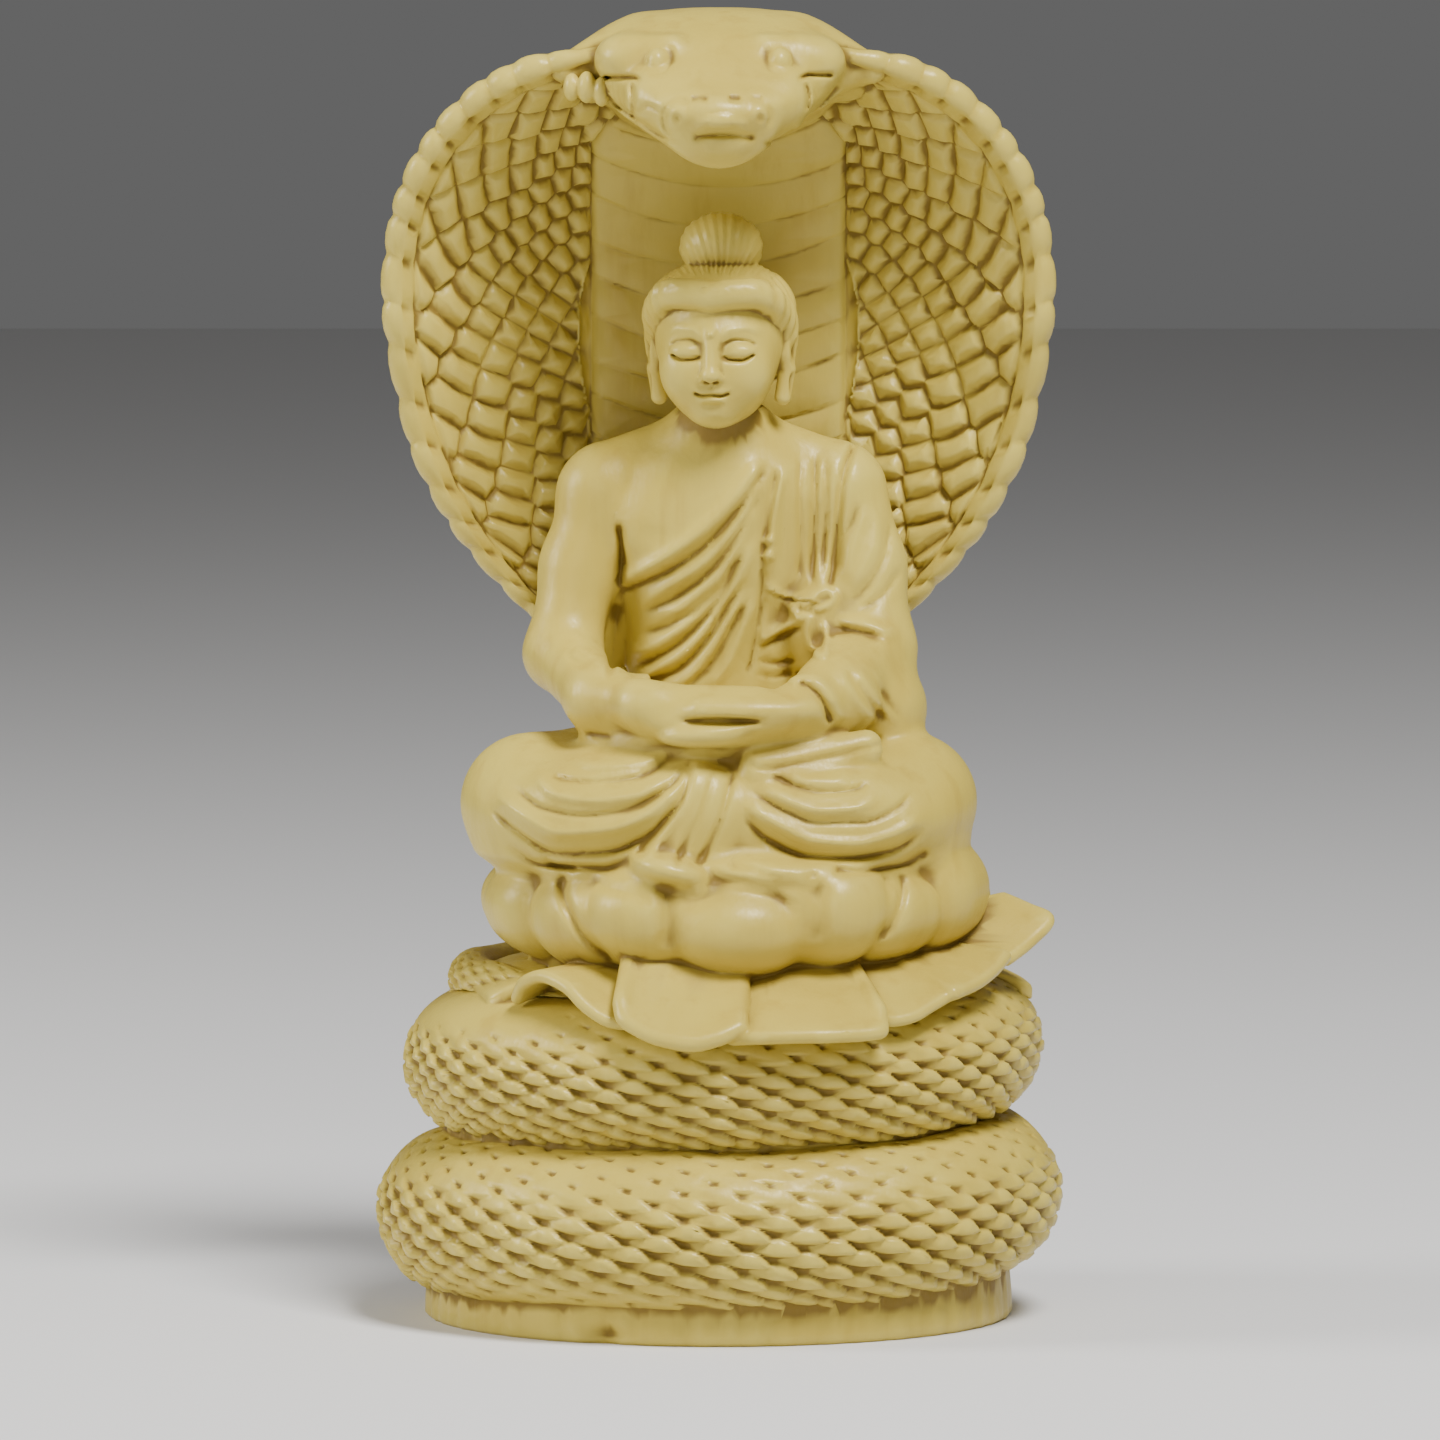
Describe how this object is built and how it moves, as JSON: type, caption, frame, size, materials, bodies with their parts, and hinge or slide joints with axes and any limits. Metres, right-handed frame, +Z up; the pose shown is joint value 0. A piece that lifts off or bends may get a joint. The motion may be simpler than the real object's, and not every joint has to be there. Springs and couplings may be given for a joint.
{
  "type": "naga buddha statue",
  "caption": "Small carved boxwood statue: a seated figure on a lotus throne and serpent coils, backed by a scaled cobra hood with the cobra's head above.",
  "frame": {"origin": "middle of the underside of the coils and foot, on the surface that the statue stands on", "axes": "+Z up, -Y the front that the figure faces, +X to the viewer's right"},
  "size_m": [0.0794, 0.0695, 0.1499],
  "materials": {
    "boxwood": "satin, hand finished and lightly waxed, warmer in the hollows"
  },
  "bodies": {
    "root": {"naga_buddha_carving": "boxwood"}
  },
  "joints": []
}
